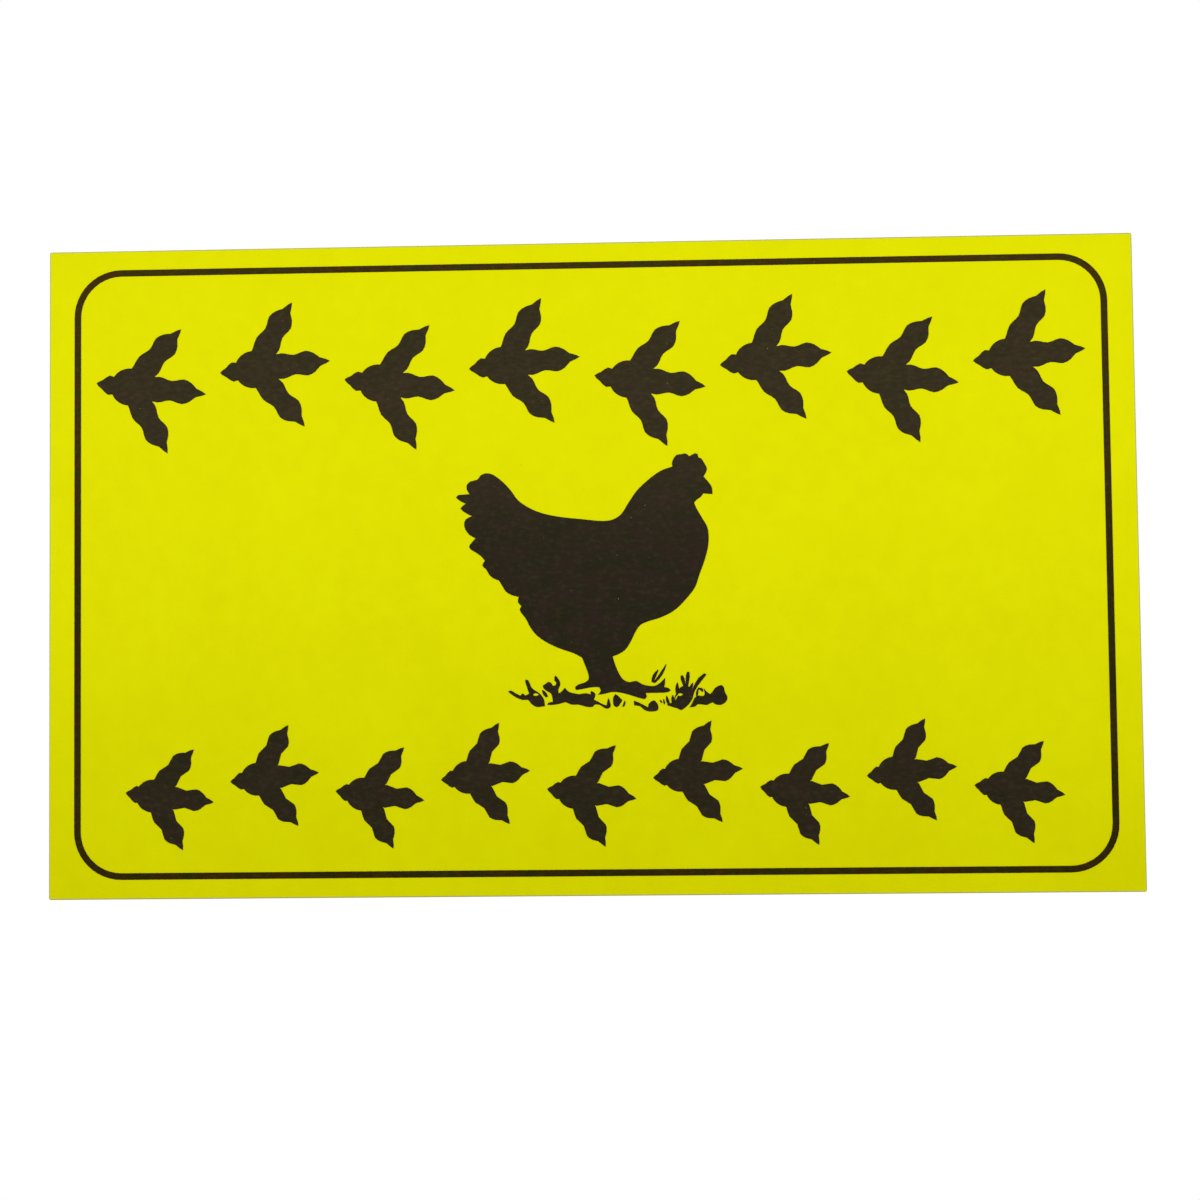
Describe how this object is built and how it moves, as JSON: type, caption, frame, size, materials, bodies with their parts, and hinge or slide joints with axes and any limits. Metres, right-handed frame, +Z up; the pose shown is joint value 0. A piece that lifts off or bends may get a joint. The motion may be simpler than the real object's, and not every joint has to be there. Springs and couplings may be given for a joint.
{
  "type": "chicken crossing sign",
  "caption": "Thin flat rectangular warning sign, lemon yellow with a dark border line, a walking hen on grass and rows of plain bird tracks.",
  "frame": {"origin": "middle of the flat back face", "axes": "+X to the right as the sign is read, +Y out of the back face, +Z up as it hangs; the printed face looks along -Y"},
  "size_m": [0.25, 0.0016, 0.15],
  "materials": {
    "yellow_plastic": "satin lemon-yellow plastic sheet",
    "dark_ink": "thin satin brown-black screen print"
  },
  "bodies": {
    "root": {"sign_plate": "yellow_plastic", "border_line": "dark_ink", "hen_silhouette": "dark_ink", "grass_tufts": "dark_ink", "upper_tracks": "dark_ink", "lower_tracks": "dark_ink"}
  },
  "joints": []
}
